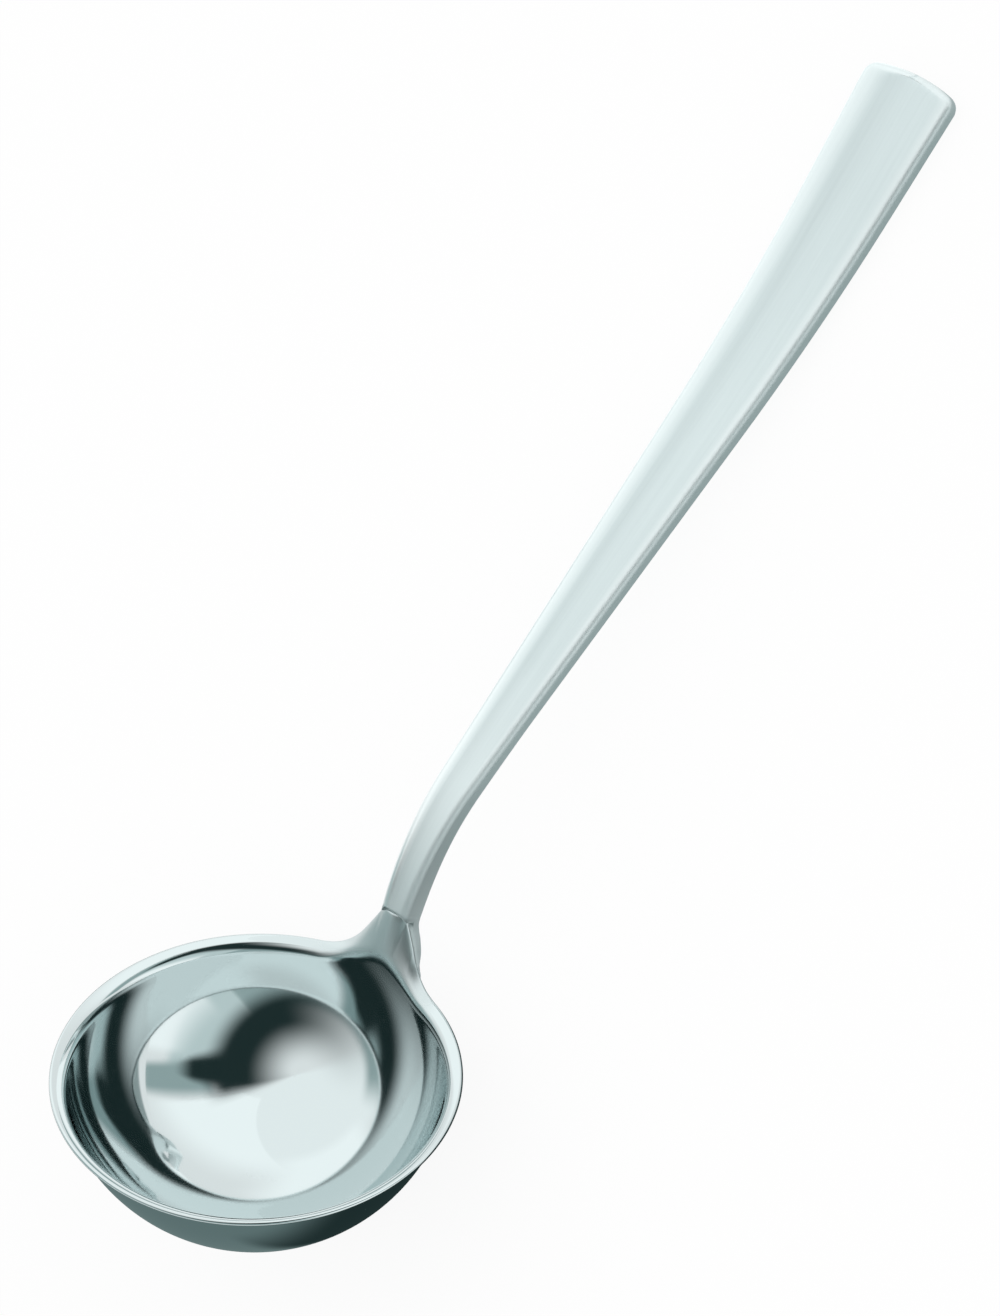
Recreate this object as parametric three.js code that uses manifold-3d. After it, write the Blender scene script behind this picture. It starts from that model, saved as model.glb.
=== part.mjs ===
// Sauce ladle, lying on a table on its bowl and on the end of its handle.
// Units are millimetres and +Z is up. The ladle is drawn with the bowl's axis upright and the handle
// towards +Y, and the last lines turn it down until the handle's end lies flat on z = 0.
import * as THREE from 'three';
import { ParametricGeometry } from 'three/addons/geometries/ParametricGeometry.js';
import { mergeVertices } from 'three/addons/utils/BufferGeometryUtils.js';
import Module from 'manifold-3d';

const wasm = await Module();
wasm.setup();

const DEG = Math.PI / 180;

// Bowl: the lower part of a ball, whose centre lies above the rim, and a rim band that turns outward.
// The outer wall leaves the ball at a share of its height to meet the back of the band.
const rimRadius = 30.8;
const bandWidth = 2.1;
const lipDrop = 0.6;
const ballRise = 5.3;
const leanStart = 0.7;
const wall = 0.8;
const rimRound = 0.3;

// Tongue: the part of the rim that rises to meet the handle. The ball's wall goes on up to the bend, from
// which the tongue leans back. Its flanks roll back a little further, between shares of its outline.
const tongueRise = 9.2;
const tongueSlope = 64 * DEG;
const bendHeight = 2.2;
const tongueTipHalf = 2.5;
const tongueTipArch = 0.9;
const tongueFlank = 28 * DEG;
const tongueFillet = 7.4;
const tongueRoll = 0.9;
const rollStart = 0.12;
const rollFull = 0.6;
const rollEnd = 0.8;

// Joint between the tongue and the handle's foot.
const jointGap = 0.3;
const roomInward = 2.3;
const footMargin = 0.1;
const footShoulder = 1.5;
const footDrop = 5;
const footThick = 3.4;
const footEndThick = 0.8;
const footBlend = 3;
const beadWidth = 1.0;
const beadThick = 0.75;

// Handle: neck bend, straight grip, upward sweep and flat end.
const neckBend = 35.3;
const gripSlope = 26.8 * DEG;
const gripLength = 68.6;
const sweepRadius = 254;
const flatLength = 20.3;
const neckWidth = 5.0;
const endWidth = 16.6;
const neckThick = 4.8;
const gripThick = 3.3;
const gripStart = 38;
const neckEdge = 1.2;
const neckBackEdge = 0.6;
const edgeRadius = 1.1;
const faceCrown = 0.2;
const endCrown = 28;
const endCorner = 2.4;

// Steps of the faceted surfaces: round half the bowl, round half the tongue, down the wall, across the
// band, round a corner, and along the bar by length, by bend and down the foot.
const bowlAround = 32;
const tongueAround = 16;
const wallRows = 11;
const bandRows = 6;
const cornerSteps = 4;
const stationStep = 8;
const stationBend = 4 * DEG;
const footSteps = 18;

const lerp = THREE.MathUtils.lerp;

// The ball passes through the lip, where the inner wall ends and the rim band starts.
const lipRadius = rimRadius - bandWidth;
const innerRadius = Math.hypot(lipRadius, ballRise + lipDrop);
const ballRadius = innerRadius + wall;
const lipTurn = Math.asin(lipRadius / innerRadius);

// Distance from the bowl's axis, and height, of the inner wall at a turn from the bottom of the ball.
function onInnerWall(turn) {
  return new THREE.Vector2(innerRadius * Math.sin(turn), ballRise - innerRadius * Math.cos(turn));
}

// The tongue's middle line runs straight up and out from the bend.
const bendTurn = Math.acos((ballRise - bendHeight) / innerRadius);
const tongueStart = onInnerWall(bendTurn);
const tipRun = (tongueRise - tongueStart.y) / Math.tan(tongueSlope);
const tip = new THREE.Vector2(tongueStart.x + tipRun, tongueRise);

// Distance from the bowl's axis of the outer edge of the band or the tongue, at a height above the rim
// plane and a share of the tongue's outline.
function edgeReach(height, share) {
  const rise = THREE.MathUtils.smoothstep(share, rollStart, rollFull);
  const fall = THREE.MathUtils.smoothstep(share, rollEnd, 1);
  return lerp(rimRadius, tip.x, height / tongueRise) + tongueRoll * rise * (1 - fall);
}

// Right half of the outline of rim and tongue, seen along Y, from the rim to the tip.
// It is a hollow fillet on the rim, a slanted flank and a low arch over the tip.
function tongueOutline(grow) {
  const cornerHeight = tongueRise - tongueTipArch;
  const tangent = tongueFillet * Math.tan((Math.PI / 2 - tongueFlank) / 2);
  const rootHalf = tongueTipHalf + cornerHeight * Math.tan(tongueFlank);
  const path = new THREE.Path();
  path.moveTo(rootHalf + tangent + grow, 0);
  path.quadraticCurveTo(
    rootHalf + grow, 0,
    rootHalf - tangent * Math.sin(tongueFlank) + grow, tangent * Math.cos(tongueFlank),
  );
  path.lineTo(tongueTipHalf + grow, cornerHeight + grow * 0.5);
  path.quadraticCurveTo(tongueTipHalf * 0.6, tongueRise + grow, 0, tongueRise + grow);
  return path;
}

// Half width of the tongue at a height, read from its outline.
function tongueHalf(height) {
  const points = tongueOutline(0).getSpacedPoints(60);
  for (let i = 1; i < points.length; i += 1) {
    if (points[i].y >= height) {
      const t = (height - points[i - 1].y) / Math.max(points[i].y - points[i - 1].y, 1e-6);
      return lerp(points[i - 1].x, points[i].x, t);
    }
  }
  return 0;
}

// Columns of the bowl's mesh, once round from the front. Each has the direction of its inner wall and
// the point where its rim band ends.
function bowlColumns(grow) {
  const outline = tongueOutline(grow).getSpacedPoints(tongueAround);
  const rootAngle = Math.asin(outline[0].x / rimRadius);
  const half = [];
  for (let i = 0; i < bowlAround; i += 1) {
    const angle = lerp(Math.PI, rootAngle, i / bowlAround);
    const reach = rimRadius + grow;
    half.push({ angle, edge: new THREE.Vector3(reach * Math.sin(angle), reach * Math.cos(angle), 0) });
  }
  for (let i = 0; i <= tongueAround; i += 1) {
    const { x, y } = outline[i];
    const share = i / tongueAround;
    const reach = edgeReach(y, share) + grow * (1 - share);
    const angle = rootAngle * (1 - share);
    half.push({ angle, edge: new THREE.Vector3(x, Math.sqrt(reach ** 2 - x ** 2), y) });
  }
  const mirrored = half.slice(0, -1).reverse().map(({ angle, edge }) => (
    { angle: -angle, edge: new THREE.Vector3(-edge.x, edge.y, edge.z) }
  ));
  return [...half, ...mirrored];
}

// One column as a closed run of points: inner pole, inner wall, band, edge, back of band, outer wall.
function bowlColumn({ angle, edge }, inward, outward) {
  const out = new THREE.Vector3(Math.sin(angle), Math.cos(angle), 0);
  const up = new THREE.Vector3(0, 0, 1);
  const endTurn = lerp(lipTurn, bendTurn, Math.min(edge.z / tongueRise, 1));
  const wallEnd = onInnerWall(endTurn);
  const start = out.clone().multiplyScalar(wallEnd.x).addScaledVector(up, wallEnd.y);
  const along = edge.clone().sub(start).normalize();
  const across = new THREE.Vector3(Math.cos(angle), -Math.sin(angle), 0);
  const back = along.clone().cross(across).normalize();
  if (back.dot(out) < 0) {
    back.negate();
  }
  const wallNormal = out.clone().multiplyScalar(Math.sin(endTurn)).addScaledVector(up, -Math.cos(endTurn));
  const mitre = wallNormal.add(back).normalize();
  mitre.divideScalar(mitre.dot(back));
  const startIn = start.clone().addScaledVector(mitre, -inward);
  const startOut = start.clone().addScaledVector(mitre, wall + outward);
  const edgeIn = edge.clone().addScaledVector(along, -rimRound).addScaledVector(back, -inward);
  const edgeOut = edge.clone().addScaledVector(along, -rimRound).addScaledVector(back, wall + outward);
  const edgeMid = edgeIn.clone().lerp(edgeOut, 0.5).addScaledVector(along, rimRound);
  const wallRun = (end, radius) => {
    const polar = Math.acos((ballRise - end.z) / radius);
    const onBall = (turn) => out.clone()
      .multiplyScalar(radius * Math.sin(turn))
      .addScaledVector(up, ballRise - radius * Math.cos(turn));
    const lean = end.clone().sub(onBall(polar));
    return Array.from({ length: wallRows }, (_, i) => {
      const share = Math.max((i / wallRows - leanStart) / (1 - leanStart), 0) ** 2;
      return onBall((polar * i) / wallRows).addScaledVector(lean, share);
    });
  };
  const points = wallRun(startIn, innerRadius - inward);
  for (let i = 0; i <= bandRows; i += 1) {
    points.push(startIn.clone().lerp(edgeIn, i / bandRows));
  }
  points.push(edgeMid);
  for (let i = bandRows; i >= 0; i -= 1) {
    points.push(startOut.clone().lerp(edgeOut, i / bandRows));
  }
  points.push(...wallRun(startOut, ballRadius + outward).reverse());
  return points;
}

// A grid of points as one closed surface.
function gridGeometry(grid) {
  const slices = grid.length - 1;
  const stacks = grid[0].length - 1;
  const at = (u, v, target) => target.copy(grid[Math.round(u * slices)][Math.round(v * stacks)]);
  return new ParametricGeometry(at, slices, stacks);
}

// Manifold solid of a geometry, with its seams closed and its triangles facing out.
function solidOf(geometry) {
  geometry.deleteAttribute('normal');
  geometry.deleteAttribute('uv');
  const merged = mergeVertices(geometry, 1e-4);
  const index = merged.index.array;
  const tris = [];
  for (let i = 0; i < index.length; i += 3) {
    const [a, b, c] = [index[i], index[i + 1], index[i + 2]];
    if (a !== b && b !== c && c !== a) {
      tris.push(a, b, c);
    }
  }
  const build = (triangles) => new wasm.Manifold(new wasm.Mesh({
    numProp: 3,
    vertProperties: new Float32Array(merged.attributes.position.array),
    triVerts: new Uint32Array(triangles),
  }));
  const solid = build(tris);
  return solid.volume() > 0 ? solid : build(tris.reverse());
}

// Flat-shaded mesh of a manifold solid.
function meshOf(name, solid, material) {
  const { numProp, vertProperties, triVerts } = solid.getMesh();
  const positions = new Float32Array((vertProperties.length / numProp) * 3);
  for (let i = 0; i < positions.length / 3; i += 1) {
    positions.set(vertProperties.subarray(i * numProp, i * numProp + 3), i * 3);
  }
  const geometry = new THREE.BufferGeometry();
  geometry.setAttribute('position', new THREE.BufferAttribute(positions, 3));
  geometry.setIndex(new THREE.BufferAttribute(new Uint32Array(triVerts), 1));
  geometry.computeVertexNormals();
  const mesh = new THREE.Mesh(geometry, material);
  mesh.name = name;
  return mesh;
}

function bowlSolid(grow, inward, outward) {
  return solidOf(gridGeometry(bowlColumns(grow).map((column) => bowlColumn(column, inward, outward))));
}

// Side view of the handle's front face as runs of constant bend, from the tip of the tongue.
// The end slope is the one that lays the flat end on the same plane as the bowl's underside.
function handleRuns(endSlope) {
  return [
    { from: tongueSlope, to: gripSlope, length: neckBend * (tongueSlope - gripSlope) },
    { from: gripSlope, to: gripSlope, length: gripLength },
    { from: gripSlope, to: endSlope, length: sweepRadius * Math.abs(endSlope - gripSlope) },
    { from: endSlope, to: endSlope, length: flatLength },
  ];
}

// Place and slope on the front face at a distance from the tip. Below the tip it follows the tongue.
function placeAt(distance, runs) {
  const place = { y: tip.x, z: tip.y, slope: tongueSlope };
  let left = distance;
  if (left < 0) {
    place.y += left * Math.cos(tongueSlope);
    place.z += left * Math.sin(tongueSlope);
    return place;
  }
  for (const run of runs) {
    const length = Math.min(left, run.length);
    place.slope = run.length > 0 ? lerp(run.from, run.to, length / run.length) : run.to;
    const turn = place.slope - run.from;
    const chord = Math.abs(turn) > 1e-9 ? (length * Math.sin(turn / 2)) / (turn / 2) : length;
    place.y += chord * Math.cos(run.from + turn / 2);
    place.z += chord * Math.sin(run.from + turn / 2);
    left -= length;
    if (left <= 0) {
      break;
    }
  }
  return place;
}

function lengthOf(runs) {
  return runs.reduce((sum, run) => sum + run.length, 0);
}

// Slope at which a plane under the bowl also lies against the underside of the handle's end.
function solveEndSlope() {
  let slope = gripSlope;
  for (let i = 0; i < 60; i += 1) {
    const runs = handleRuns(slope);
    const end = placeAt(lengthOf(runs), runs);
    const y = end.y + gripThick * Math.sin(slope);
    const z = end.z - gripThick * Math.cos(slope) - ballRise;
    slope = Math.atan2(z, y) + Math.asin(ballRadius / Math.hypot(y, z));
  }
  return slope;
}

const endSlope = solveEndSlope();
const handlePath = handleRuns(endSlope);
const handleLength = lengthOf(handlePath);

// Distance from the tip, along the tongue's middle line, at a height above the rim plane.
function distanceAt(height) {
  return (height - tongueRise) / Math.sin(tongueSlope);
}

// Back of the bowl on its middle line: distance from the tip along the tongue, and depth behind it.
const middleColumn = bowlColumn({ angle: 0, edge: new THREE.Vector3(0, tip.x, tip.y) }, 0, 0);
const middleBack = middleColumn.slice(wallRows + bandRows + 2).map(({ y, z }) => ({
  distance: (y - tip.x) * Math.cos(tongueSlope) + (z - tip.y) * Math.sin(tongueSlope),
  depth: (y - tip.x) * Math.sin(tongueSlope) - (z - tip.y) * Math.cos(tongueSlope),
}));

function backDepth(distance) {
  const next = middleBack.findIndex((point) => point.distance <= distance);
  if (next < 1) {
    return wall;
  }
  const above = middleBack[next - 1];
  const below = middleBack[next];
  const t = (above.distance - distance) / (above.distance - below.distance);
  return lerp(above.depth, below.depth, t);
}

// Half width of the foot at a height on the tongue's middle line. Above its shoulder the foot follows
// the tongue's outline and blends into the neck, and below it the foot is rounded like a shield.
function footHalf(height) {
  if (height < footShoulder) {
    const t = Math.min((footShoulder - height) / (footShoulder + footDrop), 1);
    return (tongueHalf(footShoulder) - footMargin) * Math.sqrt(Math.max(1 - t * t, 0));
  }
  const half = tongueHalf(Math.min(height, tongueRise - tongueTipArch)) - footMargin;
  const blend = Math.min((tongueRise - height) / footBlend, 1);
  return lerp(neckWidth / 2, half, blend);
}

// Depth of the foot's back at a height. The foot lies on the back of the bowl, thickens up to its
// shoulder and runs from there into the back of the neck.
function footBack(height) {
  const seat = backDepth(distanceAt(height)) + jointGap;
  if (height < footShoulder) {
    return seat + lerp(footEndThick, footThick, (height + footDrop) / (footShoulder + footDrop));
  }
  return lerp(seat + footThick, neckThick, (height - footShoulder) / (tongueRise - footShoulder));
}

// Stations of the bar: distance from the tip, half width, depths of front and back, and the radius of
// the edges of both.
function footStations() {
  const list = [];
  for (let i = 1; i < footSteps; i += 1) {
    const t = 1 - Math.cos((i / footSteps) * (Math.PI / 2));
    const height = lerp(-footDrop, tongueRise, t);
    const distance = distanceAt(height);
    list.push({
      distance,
      half: footHalf(height),
      front: backDepth(distance) - wall,
      back: footBack(height),
      edge: neckEdge,
      backEdge: neckBackEdge,
    });
  }
  return list;
}

function barStations() {
  const list = [];
  const cornerHalf = endWidth / 2 - endCorner;
  const crownCentre = handleLength - endCrown;
  const cornerCentre = crownCentre + Math.sqrt((endCrown - endCorner) ** 2 - cornerHalf ** 2);
  const widthAt = (distance) => lerp(neckWidth, endWidth, distance / cornerCentre) / 2;
  const thickAt = (distance) => (
    lerp(neckThick, gripThick, THREE.MathUtils.smoothstep(distance, 0, gripStart))
  );
  const edgeAt = (distance, start) => (
    lerp(start, edgeRadius, THREE.MathUtils.smoothstep(distance, 0, gripStart / 2))
  );
  let start = 0;
  for (const run of handlePath) {
    const bend = Math.abs(run.to - run.from);
    const steps = Math.max(2, Math.round(run.length / stationStep), Math.round(bend / stationBend));
    for (let i = 0; i < steps; i += 1) {
      const distance = start + (run.length * i) / steps;
      if (distance < cornerCentre - 1) {
        list.push({
          distance,
          half: widthAt(distance),
          front: 0,
          back: thickAt(distance),
          edge: edgeAt(distance, neckEdge),
          backEdge: edgeAt(distance, neckBackEdge),
        });
      }
    }
    start += run.length;
  }
  const turn = Math.atan2(cornerCentre - crownCentre, cornerHalf);
  for (let i = 0; i <= cornerSteps + 1; i += 1) {
    const angle = (turn * i) / (cornerSteps + 1);
    list.push({
      distance: cornerCentre + endCorner * Math.sin(angle),
      half: cornerHalf + endCorner * Math.cos(angle),
      front: 0,
      back: gripThick,
      edge: edgeRadius,
      backEdge: edgeRadius,
    });
  }
  for (const part of [0.55, 0.2]) {
    const half = cornerHalf * part;
    list.push({
      distance: crownCentre + Math.sqrt(endCrown ** 2 - half ** 2),
      half,
      front: 0,
      back: gripThick,
      edge: edgeRadius,
      backEdge: edgeRadius,
    });
  }
  return list;
}

// Outline of the bar's section: a flat back, round edges and a slightly crowned front.
function sectionPoints({ half, front, back, edge, backEdge }, grow) {
  const wide = half + grow;
  const most = Math.min(wide * 0.8, (back - front + 2 * grow) * 0.45);
  const near = Math.min(edge + grow, most);
  const far = Math.min(backEdge + grow, most);
  const corners = [
    { x: wide - near, depth: front - grow + near, radius: near, from: 0 },
    { x: -(wide - near), depth: front - grow + near, radius: near, from: Math.PI / 2 },
    { x: -(wide - far), depth: back + grow - far, radius: far, from: Math.PI },
    { x: wide - far, depth: back + grow - far, radius: far, from: 1.5 * Math.PI },
  ];
  const points = [];
  corners.forEach(({ x, depth, radius, from }, corner) => {
    for (let i = 0; i <= cornerSteps; i += 1) {
      const angle = from + (Math.PI / 2) * (i / cornerSteps);
      points.push({ x: x + radius * Math.cos(angle), depth: depth - radius * Math.sin(angle) });
    }
    if (corner === 0) {
      for (const part of [0.5, 0, -0.5]) {
        points.push({ x: x * part, depth: front - grow - faceCrown * (1 - part * part) });
      }
    }
  });
  points.push(points[0]);
  return points;
}

// Bar through its stations, closed at both ends.
function barSolid(stations, grow) {
  const rings = stations.map((station) => {
    const { y, z, slope } = placeAt(station.distance, handlePath);
    return sectionPoints(station, grow).map(({ x, depth }) => (
      new THREE.Vector3(x, y + depth * Math.sin(slope), z - depth * Math.cos(slope))
    ));
  });
  const capOf = (ring) => {
    const middle = ring.slice(1).reduce((sum, point) => sum.add(point), new THREE.Vector3());
    middle.divideScalar(ring.length - 1);
    return ring.map(() => middle);
  };
  return solidOf(gridGeometry([capOf(rings[0]), ...rings, capOf(rings[rings.length - 1])]));
}

const bowl = bowlSolid(0, 0, 0);
const bowlRoom = bowlSolid(jointGap, roomInward, jointGap);

const handle = barSolid([...footStations(), ...barStations()], 0).subtract(bowlRoom);

// The bead lies against the lower edge of the foot, on the back of the bowl.
const beadStations = footStations().filter(({ distance }) => distance < distanceAt(0)).map(
  ({ distance, half }) => ({
    distance: distance - beadWidth,
    half: half + beadWidth,
    front: backDepth(distance - beadWidth) - wall,
    back: backDepth(distance - beadWidth) + jointGap + beadThick,
    edge: neckEdge,
    backEdge: neckBackEdge,
  }),
);
const footRoom = barSolid(footStations(), jointGap);
const bead = barSolid(beadStations, 0).subtract(bowlRoom).subtract(footRoom);

const polished = new THREE.MeshStandardMaterial({ color: 0xc3cbca, roughness: 0.08, metalness: 1 });
const satin = new THREE.MeshStandardMaterial({ color: 0xc9d1d0, roughness: 0.38, metalness: 1 });
const braze = new THREE.MeshStandardMaterial({ color: 0xc9c3a8, roughness: 0.3, metalness: 1 });

const ladle = new THREE.Group();
ladle.name = 'ladle';
ladle.add(meshOf('bowl', bowl, polished));
ladle.add(meshOf('handle', handle, satin));
ladle.add(meshOf('braze_bead', bead, braze));

// Turn the ladle down on to the table, and put the middle of its length over the origin.
ladle.rotation.x = -endSlope;
ladle.updateMatrixWorld(true);
const box = new THREE.Box3().setFromObject(ladle, true);
ladle.position.set(0, -(box.min.y + box.max.y) / 2, -box.min.z);

const part = new THREE.Group();
part.name = 'sauce_ladle';
part.add(ladle);

export default part;
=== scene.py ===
"""Looks of a steel sauce ladle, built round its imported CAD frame.

The ladle is shaped in millimetres in its own frame, with the middle of the rim at the origin, the
bowl's axis along +Z and the handle towards +Y. It is then laid on the table, in metres, where the
CAD model lies.
"""

import logging
import math
from dataclasses import dataclass, field
from enum import Enum
from typing import Any, Optional, Union

import bmesh
import bpy
from mathutils import Matrix, Vector
from mathutils.bvhtree import BVHTree

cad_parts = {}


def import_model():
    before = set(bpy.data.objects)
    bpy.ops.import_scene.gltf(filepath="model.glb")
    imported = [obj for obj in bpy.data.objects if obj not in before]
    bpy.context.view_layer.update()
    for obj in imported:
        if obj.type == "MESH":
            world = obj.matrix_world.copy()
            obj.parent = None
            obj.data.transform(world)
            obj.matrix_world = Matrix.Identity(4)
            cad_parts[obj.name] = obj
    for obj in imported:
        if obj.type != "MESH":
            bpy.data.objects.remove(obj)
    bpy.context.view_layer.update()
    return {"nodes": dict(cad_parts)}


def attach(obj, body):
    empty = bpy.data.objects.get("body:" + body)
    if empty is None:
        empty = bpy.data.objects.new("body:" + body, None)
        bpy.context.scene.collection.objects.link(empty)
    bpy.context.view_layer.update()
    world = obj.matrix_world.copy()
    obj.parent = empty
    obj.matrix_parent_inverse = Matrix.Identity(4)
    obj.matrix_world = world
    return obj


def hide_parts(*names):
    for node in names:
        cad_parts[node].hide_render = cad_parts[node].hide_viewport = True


LOG = logging.getLogger("ladle")

BODY = "root"

# Slope of the ladle on the table, and the place of the middle of its rim there, in metres.
REST_SLOPE = math.radians(36.0955)
REST_SHIFT = Vector((0.0, -0.0779975, 0.0258176))
METRE = 0.001

# Vertices closer than MERGE are made one, and nothing is divided by less than TINY.
MERGE = 1e-4
TINY = 1e-9

Number = Union[int, float]
Operand = Union["Wire", Number]
Shape = bmesh.types.BMesh
Verts = list[bmesh.types.BMVert]
Thing = bpy.types.Object
Span = tuple[float, float]
Colour = tuple[float, float, float, float]


class Slot(Enum):
    """Material slots of the record."""

    POLISHED = "polished_steel"
    SATIN = "satin_steel"
    BRAZE = "braze"


class Node(Enum):
    """CAD nodes that the pieces stand for."""

    BOWL = "bowl"
    HANDLE = "handle"
    BEAD = "braze_bead"


class Face(Enum):
    """The two broad faces of the handle's bar."""

    FRONT = "front"
    BACK = "back"


class Seam(Enum):
    """Where a ring of the handle lies at the joint with the tongue."""

    NONE = "none"
    BELOW = "below"
    ABOVE = "above"


def mix(first: float, last: float, share: float) -> float:
    """Value between first and last at a share from 0 to 1."""
    return first + (last - first) * share


def ease(value: float, low: float, high: float) -> float:
    """Smooth step of a value from 0 at low to 1 at high."""
    share = min(max((value - low) / (high - low), 0.0), 1.0)
    return share * share * (3 - 2 * share)


def on_table() -> Matrix:
    """Matrix from the ladle's own frame in millimetres to the table in metres."""
    turn = Matrix.Rotation(-REST_SLOPE, 4, "X")
    return Matrix.Translation(REST_SHIFT) @ turn @ Matrix.Scale(METRE, 4)


def quadratic(start: Vector, control: Vector, end: Vector, steps: int) -> list[Vector]:
    """Points on a quadratic curve, without its start.

    Args:
        start: First point of the curve.
        control: Point that both end tangents meet in.
        end: Last point of the curve.
        steps: Number of points to return.

    Returns:
        The points, the last of which is end.
    """
    shares = [(i + 1) / steps for i in range(steps)]
    return [start.lerp(control, t).lerp(control.lerp(end, t), t) for t in shares]


class Track:
    """A run of points that can be read by its share of the whole length."""

    def __init__(self, points: list[Vector]) -> None:
        """Keep the points and the length up to each.

        Args:
            points: The points in order.
        """
        self.points = points
        self.lengths = [0.0]
        for before, after in zip(points, points[1:]):
            self.lengths.append(self.lengths[-1] + (after - before).length)

    def at(self, share: float) -> Vector:
        """Point at a share of the length from 0 to 1.

        Args:
            share: Share of the length.

        Returns:
            The point there.
        """
        wanted = min(max(share, 0.0), 1.0) * self.lengths[-1]
        for i, reached in enumerate(self.lengths[1:]):
            if reached >= wanted:
                step = max(reached - self.lengths[i], TINY)
                return self.points[i].lerp(self.points[i + 1], (wanted - self.lengths[i]) / step)
        return self.points[-1]

    def across(self, height: float) -> float:
        """First coordinate where the second one first reaches a height.

        Args:
            height: Second coordinate to reach.

        Returns:
            The first coordinate there.
        """
        for before, after in zip(self.points, self.points[1:]):
            if after.y >= height:
                step = max(after.y - before.y, TINY)
                return mix(before.x, after.x, (height - before.y) / step)
        return self.points[-1].x


class Wire:
    """A shader socket on which Python's operators add Math nodes."""

    def __init__(self, graph: "Graph", output: bpy.types.NodeSocket) -> None:
        """Keep the output socket and the graph that it belongs to."""
        self.graph = graph
        self.output = output

    def __add__(self, other: Operand) -> "Wire":
        """Sum."""
        return self.graph.math("ADD", self, other)

    def __radd__(self, other: Number) -> "Wire":
        """Sum with a number on the left."""
        return self.graph.math("ADD", other, self)

    def __sub__(self, other: Operand) -> "Wire":
        """Difference."""
        return self.graph.math("SUBTRACT", self, other)

    def __rsub__(self, other: Number) -> "Wire":
        """Difference from a number on the left."""
        return self.graph.math("SUBTRACT", other, self)

    def __mul__(self, other: Operand) -> "Wire":
        """Product."""
        return self.graph.math("MULTIPLY", self, other)

    def __rmul__(self, other: Number) -> "Wire":
        """Product with a number on the left."""
        return self.graph.math("MULTIPLY", other, self)

    def __rtruediv__(self, other: Number) -> "Wire":
        """Quotient of a number by the wire."""
        return self.graph.math("DIVIDE", other, self)

    def __pow__(self, other: Number) -> "Wire":
        """Power."""
        return self.graph.math("POWER", self, other)

    def __or__(self, other: Operand) -> "Wire":
        """Larger of the two."""
        return self.graph.math("MAXIMUM", self, other)


class Graph:
    """The node tree of a material or a world, filled through one generic method."""

    noise_roughness = 0.55

    def __init__(self, tree: bpy.types.NodeTree) -> None:
        """Start from an empty tree."""
        self.tree = tree
        tree.nodes.clear()

    def node(
        self,
        kind: str,
        settings: Optional[dict[str, Any]] = None,
        inputs: Optional[dict[Union[str, int], Any]] = None,
        out: Union[str, int] = 0,
    ) -> Wire:
        """Add a node, set it and link it.

        Args:
            kind: Node type without its ShaderNode prefix.
            settings: Properties to set first.
            inputs: Values or wires for the node's sockets, by name or number.
            out: Output socket to return, by name or number.

        Returns:
            The output socket as a wire.
        """
        node = self.tree.nodes.new("ShaderNode" + kind)
        for name, value in (settings or {}).items():
            setattr(node, name, value)
        for name, value in (inputs or {}).items():
            if isinstance(value, Wire):
                self.tree.links.new(value.output, node.inputs[name])
            else:
                node.inputs[name].default_value = value
        return Wire(self, node.outputs[out]) if node.outputs else Wire(self, None)

    def math(self, operation: str, first: Any, second: Any) -> Wire:
        """Math node on two values or wires."""
        return self.node("Math", {"operation": operation}, {0: first, 1: second})

    def noise(self, vector: Wire, scale: float, detail: float) -> Wire:
        """Value of a noise texture on a vector."""
        sizes = {"Vector": vector, "Scale": scale, "Detail": detail}
        return self.node("TexNoise", None, {**sizes, "Roughness": self.noise_roughness}, "Fac")

    def stretched(self, vector: Wire, scale: tuple[float, float, float]) -> Wire:
        """A vector scaled along its axes."""
        return self.node("Mapping", None, {"Vector": vector, "Scale": scale})

    def layer(self, name: str) -> Wire:
        """Value of one of the mesh's own layers."""
        return self.node("Attribute", {"attribute_name": name}, None, "Fac")

    def share(self, value: Wire, limits: Span) -> Wire:
        """How far a value has come from the first limit to the second, from 0 to 1."""
        inputs = {"Value": value, "From Min": limits[0], "From Max": limits[1]}
        return self.node("MapRange", None, inputs)

    def blend(self, factor: Wire, first: Any, second: Any) -> Wire:
        """Colour between two colours or colour wires."""
        inputs = {"Factor": factor, "A": first, "B": second}
        return self.node("Mix", {"data_type": "RGBA"}, inputs, "Result")

    def bump(self, height: Wire, strength: float, distance: float) -> Wire:
        """Normal that follows a height."""
        return self.node(
            "Bump", None, {"Height": height, "Strength": strength, "Distance": distance}
        )

    def metal(self, inputs: dict[str, Any]) -> None:
        """Close the tree with a metal of the given inputs."""
        shader = self.node("BsdfPrincipled", None, {"Metallic": 1.0, **inputs})
        self.node("OutputMaterial", None, {"Surface": shader})


def new_material(name: str) -> tuple[bpy.types.Material, Graph]:
    """An empty material and its graph.

    Args:
        name: Name of the material.

    Returns:
        The material and its graph.
    """
    material = bpy.data.materials.new(name)
    material.use_nodes = True
    return material, Graph(material.node_tree)


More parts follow.
